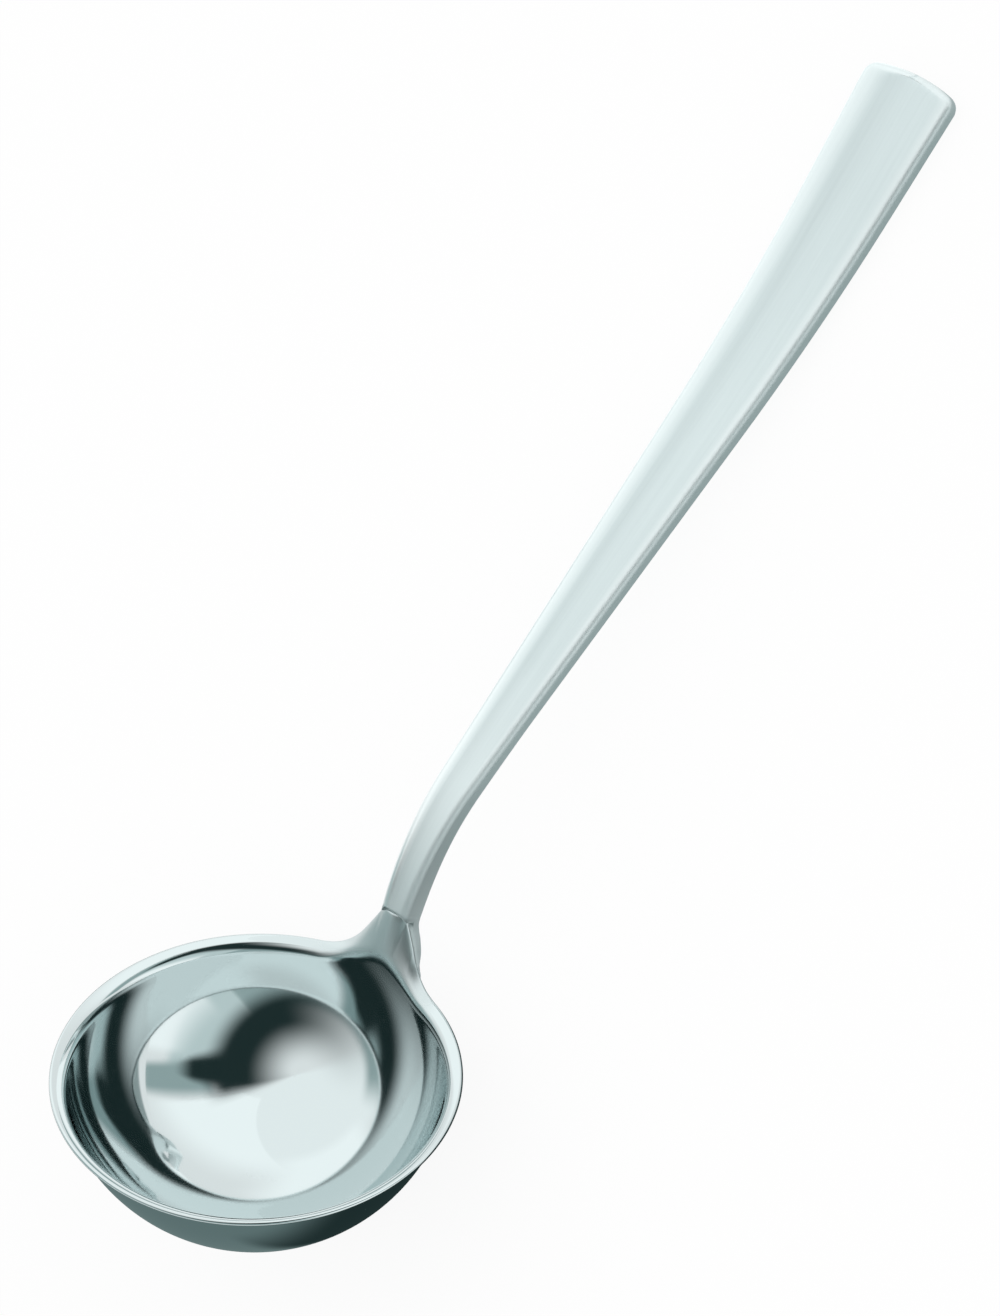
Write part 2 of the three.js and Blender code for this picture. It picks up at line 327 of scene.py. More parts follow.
@dataclass(frozen=True)
class PolishedSteel:
    """Mirror-polished steel with faint wipe marks, a breath of haze and a satin tongue."""

    colour: Colour = (0.66, 0.73, 0.735, 1.0)
    roughness: float = 0.05
    buffed: float = 0.3
    haze: float = 0.06
    wipe: float = 0.02
    haze_scale: float = 26.0
    haze_detail: float = 3.0
    haze_power: int = 3
    wipe_scale: tuple[float, float, float] = (900.0, 120.0, 900.0)
    wipe_detail: float = 2.0
    wipe_power: int = 4

    def material(self) -> bpy.types.Material:
        """Make the material.

        Returns:
            The material, which reads the layer "buff".
        """
        material, graph = new_material("polished_steel_mirror")
        place = graph.node("TexCoord", None, None, "Object")
        clouds = graph.noise(place, self.haze_scale, self.haze_detail)
        hairs = graph.noise(graph.stretched(place, self.wipe_scale), 1.0, self.wipe_detail)
        marks = self.haze * clouds**self.haze_power + self.wipe * hairs**self.wipe_power
        roughness = self.roughness + self.buffed * graph.layer("buff") + marks
        graph.metal({"Base Color": self.colour, "Roughness": roughness})
        return material


@dataclass(frozen=True)
class SatinSteel:
    """Satin steel with a fine grain along the bar, painted shade left of its middle, wear and
    painted highlight at its edges.
    """

    colour: Colour = (0.74, 0.82, 0.825, 1.0)
    # Darker colour for painted shade in a band left of the face's middle, and for the grain's
    # random streaks.
    painted_shade_and_streak: Colour = (0.57, 0.645, 0.65, 1.0)
    # Lighter colour of the edges and the neck: wear, and a painted highlight.
    worn_and_highlight: Colour = (0.92, 0.965, 0.965, 1.0)
    worn_roughness: float = 0.28
    # Shares of that lighter colour at the left edge, the right edge and towards the neck.
    worn_and_highlight_left: float = 0.3
    worn_and_highlight_right: float = 0.4
    worn_and_highlight_neck: float = 0.5
    roughness: float = 0.5
    neck_roughness: float = 0.65
    neck_end: float = 40.0
    left_edge: Span = (-0.55, -1.0)
    right_edge: Span = (0.8, 1.0)
    neck_wear_and_highlight: Span = (45.0, 5.0)
    streak: float = 0.10
    streak_dull: float = 0.6
    # Strength, place and width of that band of painted shade.
    band: float = 0.42
    band_place: float = -0.4
    band_width: float = 0.3
    grain_depth: float = 0.000004
    grain_strength: float = 0.5
    grain_scale: tuple[float, float, float] = (0.22, 26.0, 1.0)
    grain_detail: float = 3.0
    streak_scale: tuple[float, float, float] = (0.03, 1.4, 1.0)
    streak_detail: float = 2.0

    def material(self) -> bpy.types.Material:
        """Make the material.

        Returns:
            The material, which reads the layers "along", "around" and "across".
        """
        material, graph = new_material("satin_steel_grain")
        along, across = graph.layer("along"), graph.layer("across")
        bar = graph.node("CombineXYZ", None, {"X": along, "Y": graph.layer("around")})
        grain = graph.noise(graph.stretched(bar, self.grain_scale), 1.0, self.grain_detail)
        streak = graph.noise(graph.stretched(bar, self.streak_scale), 1.0, self.streak_detail)
        streaks = streak * grain
        past_neck = graph.share(along, (0.0, self.neck_end))
        ground = self.neck_roughness + (self.roughness - self.neck_roughness) * past_neck
        left = graph.share(across, self.left_edge)
        right = graph.share(across, self.right_edge)
        # Lighter colour at the edges and towards the neck: wear, and a painted highlight where the
        # steel catches light.
        near = self.worn_and_highlight_neck * graph.share(along, self.neck_wear_and_highlight)
        worn_and_highlight = (self.worn_and_highlight_left + near) * left | self.worn_and_highlight_right * right | near
        # Painted shade: a darker band along the face left of its middle, plus the random streaks of
        # the grain.
        off = (across - self.band_place) * (1 / self.band_width)
        painted_shade_and_streak = self.band * (1.0 / (1.0 + off * off)) + self.streak_dull * streaks
        plain = graph.blend(painted_shade_and_streak, self.colour, self.painted_shade_and_streak)
        roughness = ground - left * (ground - self.worn_roughness) + self.streak * streaks
        graph.metal(
            {
                "Base Color": graph.blend(worn_and_highlight, plain, self.worn_and_highlight),
                "Roughness": roughness,
                "Normal": graph.bump(grain, self.grain_strength, self.grain_depth),
            }
        )
        return material


@dataclass(frozen=True)
class Braze:
    """Cleaned silver brazing metal, faintly yellow and slightly uneven."""

    colour: Colour = (0.79, 0.77, 0.66, 1.0)
    stain: Colour = (0.62, 0.58, 0.47, 1.0)
    roughness: float = 0.24
    rougher: float = 0.16
    uneven: float = 0.00006
    uneven_strength: float = 0.6
    scale: float = 900.0
    detail: float = 3.0

    def material(self) -> bpy.types.Material:
        """Make the material.

        Returns:
            The material.
        """
        material, graph = new_material("silver_braze")
        waves = graph.noise(graph.node("TexCoord", None, None, "Object"), self.scale, self.detail)
        graph.metal(
            {
                "Base Color": graph.blend(waves**2, self.colour, self.stain),
                "Roughness": self.roughness + self.rougher * waves,
                "Normal": graph.bump(waves, self.uneven_strength, self.uneven),
            }
        )
        return material


Finish = Union[PolishedSteel, SatinSteel, Braze]


def next_ring(shape: Shape, verts: Verts) -> Verts:
    """Extrude a ring of vertices, and return the new ring.

    Args:
        shape: The shape that the ring is on.
        verts: The vertices of its last ring.

    Returns:
        The vertices of the new ring, with the layers of those before them.
    """
    ring = set(verts)
    edges = [e for e in shape.edges if e.verts[0] in ring and e.verts[1] in ring]
    made = bmesh.ops.extrude_edge_only(shape, edges=edges)["geom"]
    return [item for item in made if isinstance(item, bmesh.types.BMVert)]


def object_from(shape: Shape, name: str) -> Thing:
    """Put a shape into the scene as an object, and free the shape.

    Args:
        shape: The shape, in metres.
        name: Name of the object and its mesh.

    Returns:
        The object.
    """
    mesh = bpy.data.meshes.new(name)
    shape.to_mesh(mesh)
    shape.free()
    made = bpy.data.objects.new(name, mesh)
    bpy.context.scene.collection.objects.link(made)
    return made


def piece_from(shape: Shape, name: str, node: Node, finish: Finish) -> Thing:
    """Lay a finished shape on the table as a piece that stands for its CAD node.

    Args:
        shape: The shape in the ladle's own frame. It is freed.
        name: Name of the piece.
        node: CAD node that it replaces.
        finish: Finish that it is dressed with.

    Returns:
        The object of the piece.
    """
    bmesh.ops.transform(shape, matrix=on_table(), verts=shape.verts[:])
    for face in shape.faces:
        face.smooth = True
    piece = object_from(shape, name)
    piece.data.materials.append(finish.material())
    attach(piece, BODY)
    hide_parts(node.value)
    return piece


@dataclass(frozen=True)
class Brink:
    """The bowl at an angle: turn and corner of its lip, and end and frame of its outer edge."""

    turn: float
    corner: Vector
    end: Vector
    out: Vector
    normal: Vector


@dataclass
class Bowl:
    """The deep-drawn bowl with its rim band and its tongue. Sizes are in millimetres."""

    rim_radius: float = 30.8
    band_width: float = 2.1
    lip_drop: float = 0.6
    ball_rise: float = 5.3
    wall: float = 0.8
    lip_round: float = 1.65
    under_round: float = 1.3
    bend_height: float = 2.2
    tongue_rise: float = 9.2
    tongue_slope: float = math.radians(64.0)
    tongue_roll: float = 0.9
    roll_starts: Span = (0.12, 0.6)
    roll_ends: float = 0.2
    tip_half: float = 2.5
    tip_arch: float = 0.9
    tip_round: float = 0.7
    arch_share: float = 0.6
    flank: float = math.radians(28)
    fillet: float = 7.4
    columns: int = 480
    gather: float = 0.72
    rows: int = 52
    round_steps: int = 10
    band_rows: int = 6
    nose_steps: int = 8
    outline_steps: tuple[int, int, int] = (24, 12, 16)
    angle_step: float = 0.004
    over_bowl: float = 60.0
    buff_past: float = 0.08
    buff_fade: float = 0.14
    finish: PolishedSteel = field(default_factory=PolishedSteel)

    def __post_init__(self) -> None:
        """Work out what follows from the sizes."""
        lip_radius = self.rim_radius - self.band_width
        self.inner_radius = math.hypot(lip_radius, self.ball_rise + self.lip_drop)
        self.lip_turn = math.asin(lip_radius / self.inner_radius)
        self.bend_turn = math.acos((self.ball_rise - self.bend_height) / self.inner_radius)
        climb = self.tongue_rise - self.bend_height
        bend_reach = self.inner_radius * math.sin(self.bend_turn)
        self.tip_reach = bend_reach + climb / math.tan(self.tongue_slope)
        self.outline = self.tongue_outline()
        self.root_angle = math.asin(self.outline.points[0].x / self.rim_radius)
        self.last_row = self.rows + self.round_steps + self.band_rows
        self.edges: dict[float, Vector] = {}
        self.brinks: dict[float, Brink] = {}

    def tongue_outline(self) -> Track:
        """Right half of the tongue's outline, seen along Y, from the rim to the tip.

        Returns:
            The outline, with its points across and up.
        """
        corner = self.tongue_rise - self.tip_arch
        tangent = self.fillet * math.tan((math.pi / 2 - self.flank) / 2)
        root = self.tip_half + corner * math.tan(self.flank)
        start = Vector((root + tangent, 0.0))
        flank_start = Vector(
            (root - tangent * math.sin(self.flank), tangent * math.cos(self.flank))
        )
        shoulder = Vector((self.tip_half, corner))
        tip = Vector((0.0, self.tongue_rise))
        root_steps, corner_steps, arch_steps = self.outline_steps
        points = [start]
        points += quadratic(start, Vector((root, 0.0)), flank_start, root_steps)
        below = shoulder + Vector((math.sin(self.flank), -math.cos(self.flank))) * self.tip_round
        arch = Vector((self.tip_half * self.arch_share, self.tongue_rise))
        arch_start = shoulder + (arch - shoulder).normalized() * self.tip_round
        points.append(below)
        points += quadratic(below, shoulder, arch_start, corner_steps)
        points += quadratic(arch_start, arch, tip, arch_steps)
        return Track(points)

    def edge_at(self, angle: float) -> Vector:
        """Outer edge of the band or the tongue in a direction round the axis, from +Y.

        Args:
            angle: Angle round the axis from +Y.

        Returns:
            The point in the ladle's own frame.
        """
        if angle not in self.edges:
            self.edges[angle] = self.find_edge(angle)
        return self.edges[angle]

    def find_edge(self, angle: float) -> Vector:
        """Work out a point of the outer edge.

        Args:
            angle: Angle round the axis from +Y.

        Returns:
            The point in the ladle's own frame.
        """
        if abs(angle) >= self.root_angle:
            return self.rim_radius * Vector((math.sin(angle), math.cos(angle), 0.0))
        share = 1 - abs(angle) / self.root_angle
        point = self.outline.at(share)
        reach = mix(self.rim_radius, self.tip_reach, point.y / self.tongue_rise)
        rolled = ease(share, *self.roll_starts) * ease(1 - share, 0, self.roll_ends)
        reach += self.tongue_roll * rolled
        depth = math.sqrt(reach**2 - point.x**2)
        return Vector((math.copysign(point.x, angle), depth, point.y))

    def on_wall(self, turn: float, angle: float) -> Vector:
        """Point of the inner ball at a turn from its bottom and an angle round the axis.

        Args:
            turn: Turn from the bottom of the ball.
            angle: Angle round the axis from +Y.

        Returns:
            The point in the ladle's own frame.
        """
        out = self.inner_radius * math.sin(turn)
        height = self.ball_rise - self.inner_radius * math.cos(turn)
        return Vector((out * math.sin(angle), out * math.cos(angle), height))

    def brink_at(self, angle: float) -> Brink:
        """Where wall and band meet at an angle, and the frame of the outer edge there.

        Args:
            angle: Angle round the axis from +Y.

        Returns:
            The brink, which is worked out once.
        """
        if angle not in self.brinks:
            edge = self.edge_at(angle)
            turn = mix(self.lip_turn, self.bend_turn, edge.z / self.tongue_rise)
            corner = self.on_wall(turn, angle)
            tangent = self.edge_at(angle + self.angle_step) - self.edge_at(angle - self.angle_step)
            normal = self.inwards(tangent.cross(edge - corner), edge)
            out = normal.cross(tangent).normalized()
            if out.dot(edge - corner) < 0:
                out.negate()
            self.brinks[angle] = Brink(turn, corner, edge - out * self.wall / 2, out, normal)
        return self.brinks[angle]

    def inwards(self, normal: Vector, place: Vector) -> Vector:
        """A normal of unit length, turned to the inner face's side."""
        over = Vector((0, 0, self.over_bowl)) - place
        return normal.normalized() if normal.dot(over) > 0 else -normal.normalized()

    def row_point(self, row: float, angle: float, lip: float) -> Vector:
        """Point of the inner face on a row at an angle round the axis.

        Args:
            row: Number of the row, counted from the bottom up the wall, round the lip and out.
            angle: Angle round the axis from +Y.
            lip: Length from the lip's corner to the start of its round on either side.

        Returns:
            The point on the inner face.
        """
        brink = self.brink_at(angle)
        last = brink.turn - lip / self.inner_radius
        if row <= self.rows:
            return self.on_wall(last * row / self.rows, angle)
        start = brink.corner + (brink.end - brink.corner).normalized() * lip
        past_lip = row - self.rows - self.round_steps
        if past_lip > 0:
            return start.lerp(brink.end, past_lip / self.band_rows)
        share = (row - self.rows) / self.round_steps
        wall_end = self.on_wall(last, angle)
        return wall_end.lerp(brink.corner, share).lerp(brink.corner.lerp(start, share), share)

    def outer_point(self, row: int, angle: float) -> Vector:
        """Point of the outer face, one wall behind a row of the inner face.

        Args:
            row: Number of the row.
            angle: Angle round the axis from +Y.

        Returns:
            The point in the ladle's own frame.
        """
        lip = self.under_round
        point = self.row_point(row, angle, lip)
        if row < self.rows:
            return point + (point - Vector((0, 0, self.ball_rise))).normalized() * self.wall
        if row == self.last_row:
            return point - self.brink_at(angle).normal * self.wall
        up = self.row_point(row + 0.5, angle, lip) - self.row_point(row - 0.5, angle, lip)
        right = self.row_point(row, angle + self.angle_step, lip)
        left = self.row_point(row, angle - self.angle_step, lip)
        return point - self.inwards(up.cross(right - left), point) * self.wall

    def shell_point(self, row: int, angle: float) -> Vector:
        """Point of the whole shell on a row from the inner bottom round the edge to the outer.

        Args:
            row: Number of the row.
            angle: Angle round the axis from +Y.

        Returns:
            The point in the ladle's own frame.
        """
        if row <= self.last_row:
            return self.row_point(row, angle, self.lip_round)
        past_edge = row - self.last_row
        if past_edge >= self.nose_steps:
            return self.outer_point(2 * self.last_row + self.nose_steps - row, angle)
        brink = self.brink_at(angle)
        turn = math.pi * past_edge / self.nose_steps
        off = brink.normal * (math.cos(turn) - 1) + brink.out * math.sin(turn)
        return brink.end + off * self.wall / 2

    def shape(self) -> Shape:
        """The finished shape in the ladle's own frame, with the layer "buff" for its finish.

        Returns:
            The closed shape.
        """
        count = 2 * self.last_row + self.nose_steps
        shape = bmesh.new()
        buff = shape.verts.layers.float.new("buff")
        pole = bmesh.ops.create_vert(shape, co=(0, 0, -1))["vert"]
        bmesh.ops.spin(shape, geom=pole, axis=(1, 0, 0), angle=math.pi, steps=count)
        bmesh.ops.spin(
            shape,
            geom=shape.verts[:] + shape.edges[:],
            axis=(0, 0, 1),
            angle=math.tau,
            steps=self.columns,
            use_merge=True,
        )
        bmesh.ops.remove_doubles(shape, verts=shape.verts[:], dist=MERGE)
        for vert in shape.verts:
            row = round(math.atan2(vert.co.xy.length, -vert.co.z) / math.pi * count)
            angle = math.atan2(vert.co.x, vert.co.y)
            angle -= self.gather * math.sin(angle)
            past_wall = min(row, count - row) - self.rows
            inside = self.root_angle + self.buff_past - abs(angle)
            near_tongue = ease(inside, 0.0, self.buff_fade)
            vert[buff] = near_tongue * ease(past_wall, 0, self.round_steps)
            vert.co = self.shell_point(row, angle)
        bmesh.ops.recalc_face_normals(shape, faces=shape.faces[:])
        return shape

    def build(self, shape: Shape) -> Thing:
        """Dress the shape and lay it on the table."""
        return piece_from(shape, "bowl_shell", Node.BOWL, self.finish)


@dataclass(frozen=True)
class Place:
    """A place on the bar's section: side from -1 to 1, share of the round edge, and face."""

    side: float
    turn: float
    face: Face


@dataclass(frozen=True)
class Ring:
    """A ring of the bar: a point of its outline, the outline's normal there, and its seam."""

    half: float
    distance: float
    normal: Vector
    seam: Seam = Seam.NONE


@dataclass
class Handle:
    """The forged handle with its foot behind the tongue. Sizes are in millimetres."""

    bowl: Bowl
    neck_bend: float = 35.3
    grip_slope: float = math.radians(26.8)
    grip_length: float = 68.6
    sweep_radius: float = 254.0
    flat_length: float = 20.3
    neck_width: float = 5.0
    end_width: float = 16.6
    neck_thick: float = 4.8
    grip_thick: float = 3.3
    grip_start: float = 38.0
    neck_edge: float = 1.2
    neck_back_edge: float = 0.6
    edge_radius: float = 1.1
    face_crown: float = 0.2
    neck_hollow: float = 0.2
    hollow_past: float = 8.0
    crown_starts: Span = (-0.5, 4.0)
    end_crown: float = 28.0
    end_corner: float = 2.4
    foot_margin: float = 0.1
    foot_shoulder: float = 1.5
    foot_drop: float = 5.0
    foot_thick: float = 3.4
    foot_end_thick: float = 0.8
    foot_blend: float = 3.0
    foot_sag: float = 0.7
    sag_starts: Span = (5.0, 9.5)
    foot_seat: float = 0.06
    foot_top: float = -2.0
    seat_top: float = -1.0
    seat_reach: float = 30.0
    seat_sides: tuple[float, ...] = (0.0, 0.5, 0.8)
    edge_share: float = 0.45
    seam_gap: float = 0.1
    seam_below: float = -1.35
    seam_above: float = -0.45
    seam_under: float = 0.4
    neck_start: float = 0.4
    face_sides: tuple[float, ...] = (0.96, 0.7, 0.4, 0.0, -0.4, -0.7, -0.96)
    back_around: float = 40.0
    back_across: float = 4.0
    round_steps: int = 6
    foot_steps: int = 30
    corner_steps: int = 12
    crown_steps: int = 10
    bar_step: float = 1.2
    finish: SatinSteel = field(default_factory=SatinSteel)

    def __post_init__(self) -> None:
        """Work out the runs of the front face, its length and the round of its end."""
        slopes = [self.bowl.tongue_slope, self.grip_slope, self.grip_slope, REST_SLOPE, REST_SLOPE]
        lengths = [
            self.neck_bend * (slopes[0] - slopes[1]),
            self.grip_length,
            self.sweep_radius * abs(slopes[3] - slopes[2]),
            self.flat_length,
        ]
        self.runs = list(zip(slopes, slopes[1:], lengths))
        self.length = sum(lengths)
        self.corner_half = self.end_width / 2 - self.end_corner
        self.crown_centre = self.length - self.end_crown
        inner = self.end_crown - self.end_corner
        self.corner_centre = self.crown_centre + math.sqrt(inner**2 - self.corner_half**2)
        self.back_of_bowl: Optional[BVHTree] = None

    def frame_at(self, distance: float) -> tuple[Vector, float]:
        """Point and slope of the front face at a distance from the tongue's tip.

        Args:
            distance: Distance along the front face. Below zero it follows the tongue.

        Returns:
            The point on the middle line, and the slope there.
        """
        y, z, slope = self.bowl.tip_reach, self.bowl.tongue_rise, self.bowl.tongue_slope
        left = distance
        if left < 0:
            return Vector((0, y + left * math.cos(slope), z + left * math.sin(slope))), slope
        for start, end, length in self.runs:
            used = min(left, length)
            slope = mix(start, end, used / length)
            turn = slope - start
            chord = used * math.sin(turn / 2) / (turn / 2) if abs(turn) > TINY else used
            y += chord * math.cos(start + turn / 2)
            z += chord * math.sin(start + turn / 2)
            left -= used
            if left <= 0:
                break
        return Vector((0, y, z)), slope

    def point(self, x: float, distance: float, depth: float) -> Vector:
        """Point at a distance along the bar, across it and behind its front face."""
        base, slope = self.frame_at(distance)
        return base + Vector((x, depth * math.sin(slope), -depth * math.cos(slope)))

    def distance_at(self, height: float) -> float:
        """Distance from the tip along the tongue at a height above the rim plane."""
        return (height - self.bowl.tongue_rise) / math.sin(self.bowl.tongue_slope)

    def height_at(self, distance: float) -> float:
        """Height above the rim plane at a distance from the tip along the tongue."""
        return self.bowl.tongue_rise + distance * math.sin(self.bowl.tongue_slope)

    def seat(self, x: float, distance: float) -> float:
        """Depth of the back of the bowl behind the front face's line, with the joint's film.

        Args:
            x: Place across the bar.
            distance: Distance from the tip.

        Returns:
            The depth.
        """
        _, slope = self.frame_at(distance)
        start = self.point(x, distance, self.seat_reach)
        towards = Vector((0, -math.sin(slope), math.cos(slope)))
        hit = self.back_of_bowl.ray_cast(start, towards)
        depth = self.bowl.wall if hit[0] is None else self.seat_reach - hit[3]
        return max(depth, self.bowl.wall) + self.foot_seat

    def foot_half(self, height: float) -> float:
        """Half width of the foot at a height: the tongue's, or a rounded shield below.

        Args:
            height: Height above the rim plane.

        Returns:
            The half width.
        """
        tongue = self.bowl.outline.across
        if height < self.foot_shoulder:
            share = min((self.foot_shoulder - height) / (self.foot_shoulder + self.foot_drop), 1.0)
            full = tongue(self.foot_shoulder) - self.foot_margin
            return full * math.sqrt(max(1 - share * share, 0.0))
        top = self.bowl.tongue_rise - self.bowl.tip_arch
        half = tongue(min(height, top)) - self.foot_margin
        share = min((self.bowl.tongue_rise - height) / self.foot_blend, 1.0)
        return mix(self.neck_width / 2, half, share)

    def back_depth(self, distance: float) -> float:
        """Depth of the bar's back at a distance from the tip.

        Args:
            distance: Distance along the bar.

        Returns:
            The depth behind the front face.
        """
        if distance >= 0:
            return mix(self.neck_thick, self.grip_thick, ease(distance, 0, self.grip_start))
        height = max(self.height_at(distance), -self.foot_drop)
        seat = self.seat(0.0, distance)
        if height < self.foot_shoulder:
            share = (height + self.foot_drop) / (self.foot_shoulder + self.foot_drop)
            return seat + mix(self.foot_end_thick, self.foot_thick, share)
        share = (height - self.foot_shoulder) / (self.bowl.tongue_rise - self.foot_shoulder)
        return mix(seat + self.foot_thick, self.neck_thick, share)

    def seam_at(self, x: float) -> float:
        """Distance from the tip at which the neck meets the arched tip of the tongue.

        Args:
            x: Place across the bar.

        Returns:
            The distance, with the gap of the joint.
        """
        height = self.bowl.tongue_rise
        for before, after in zip(self.bowl.outline.points, self.bowl.outline.points[1:]):
            if before.x >= abs(x) >= after.x and before.y > self.bowl.tongue_rise / 2:
                step = max(before.x - after.x, TINY)
                height = mix(before.y, after.y, (before.x - abs(x)) / step)
        return self.distance_at(height) + self.seam_gap

    def outline(self) -> list[Ring]:
        """Rings of the bar from the bottom of its foot to the middle of its end.

        Returns:
            The rings in order.
        """
        corners: list[tuple[float, float, Seam]] = []
        top = self.height_at(self.foot_top)
        for i in range(self.foot_steps + 1):
            share = 1 - math.cos(i / self.foot_steps * math.pi / 2)
            height = mix(-self.foot_drop, top, share)
            corners.append((self.foot_half(height), self.distance_at(height), Seam.NONE))
        for distance, seam in ((self.seam_below, Seam.BELOW), (self.seam_above, Seam.ABOVE)):
            corners.append((self.foot_half(self.height_at(distance)), distance, seam))
        count = round(self.corner_centre / self.bar_step)
        for i in range(count):
            distance = mix(self.neck_start, self.corner_centre, i / count)
            half = mix(self.neck_width, self.end_width, distance / self.corner_centre) / 2
            corners.append((half, distance, Seam.NONE))
        turn = math.atan2(self.corner_centre - self.crown_centre, self.corner_half)
        for i in range(self.corner_steps + 1):
            angle = turn * i / self.corner_steps
            half = self.corner_half + self.end_corner * math.cos(angle)
            distance = self.corner_centre + self.end_corner * math.sin(angle)
            corners.append((half, distance, Seam.NONE))
        top_half = corners[-1][0]
        for i in range(1, self.crown_steps + 1):
            half = top_half * (1 - i / self.crown_steps)
            distance = self.crown_centre + math.sqrt(self.end_crown**2 - half**2)
            corners.append((half, distance, Seam.NONE))
        rings = []
        for i, (half, distance, seam) in enumerate(corners):
            before, after = corners[max(i - 1, 0)], corners[min(i + 1, len(corners) - 1)]
            normal = Vector((after[1] - before[1], before[0] - after[0])).normalized()
            if half < TINY:
                normal = Vector((0.0, -1.0 if i == 0 else 1.0))
            rings.append(Ring(half, distance, normal, seam))
        return rings

    def places(self) -> list[Place]:
        """Places once round the section, from the right side over the front.

        Returns:
            The places in order.
        """
        turns = [i / self.round_steps for i in range(self.round_steps + 1)]
        ring = [Place(1, turn, Face.FRONT) for turn in turns]
        ring += [Place(side, 1, Face.FRONT) for side in self.face_sides]
        ring += [Place(-1, turn, Face.FRONT) for turn in reversed(turns)]
        ring += [Place(-1, turn, Face.BACK) for turn in turns]
        ring += [Place(-side, 1, Face.BACK) for side in self.face_sides]
        ring += [Place(1, turn, Face.BACK) for turn in reversed(turns)]
        return ring

    def section_point(self, ring: Ring, place: Place) -> tuple[Vector, float]:
        """Point of a ring at a place of the section.

        Args:
            ring: The ring of the bar.
            place: The place on its section.

        Returns:
            The point in the ladle's own frame, and its distance along the bar.
        """
        neck = self.neck_edge if place.face is Face.FRONT else self.neck_back_edge
        edge = mix(neck, self.edge_radius, ease(ring.distance, 0, self.grip_start / 2))
        below = ring.seam is Seam.BELOW or (
            ring.seam is Seam.NONE and ring.distance < self.seat_top
        )
        back = self.back_depth(ring.distance)
        front = 0.0
        if below:
            front = max(self.seat(ring.half * side, ring.distance) for side in self.seat_sides)
        sag = self.foot_sag * (back - front) * ease(-ring.distance, *self.sag_starts)
        edge = min(edge, (back - front - sag) * self.edge_share)
        inset = edge * (1 - math.cos(place.turn * math.pi / 2))
        lift = edge * (1 - math.sin(place.turn * math.pi / 2))
        x = place.side * max(ring.half - inset * ring.normal.x, 0.0)
        distance = ring.distance - inset * ring.normal.y
        if place.face is Face.BACK:
            depth = self.back_depth(distance) - lift - sag * place.side**2
            return self.point(x, distance, depth), distance
        if ring.seam is not Seam.NONE:
            distance = self.seam_at(x)
        if below:
            under = self.seam_under if ring.seam is Seam.BELOW else 0.0
            return self.point(x, distance, self.seat(x, distance - under) + lift), distance
        past_hollow = ease(distance - self.hollow_past, 0, self.grip_start)
        rise = mix(-self.neck_hollow, self.face_crown, past_hollow)
        crown = rise * (1 - place.side**2) * ease(distance, *self.crown_starts)
        return self.point(x, distance, lift - crown), distance

    def shape(self, back_of_bowl: BVHTree) -> Shape:
        """The finished shape in the ladle's own frame.

        Args:
            back_of_bowl: The bowl's surface, which the foot lies on.

        Returns:
            The closed shape, with the layers "along", "around" and "across" for its grain.
        """
        self.back_of_bowl = back_of_bowl
        places = self.places()
        shape = bmesh.new()
        index = shape.verts.layers.int.new("place")
        along = shape.verts.layers.float.new("along")
        around = shape.verts.layers.float.new("around")
        across = shape.verts.layers.float.new("across")
        verts = bmesh.ops.create_circle(shape, segments=len(places), radius=1.0)["verts"]
        for i, vert in enumerate(verts):
            vert[index] = i
        for number, ring in enumerate(self.outline()):
            if number:
                verts = next_ring(shape, verts)
            for vert in verts:
                place = places[vert[index]]
                vert.co, vert[along] = self.section_point(ring, place)
                front = place.face is Face.FRONT
                girth = place.side * ring.half
                vert[around] = girth if front else self.back_around + girth
                vert[across] = place.side if front else self.back_across
        bmesh.ops.remove_doubles(shape, verts=shape.verts[:], dist=MERGE)
        bmesh.ops.recalc_face_normals(shape, faces=shape.faces[:])
        return shape

    def build(self, shape: Shape) -> Thing:
        """Dress the shape and lay it on the table."""
        return piece_from(shape, "handle_bar", Node.HANDLE, self.finish)


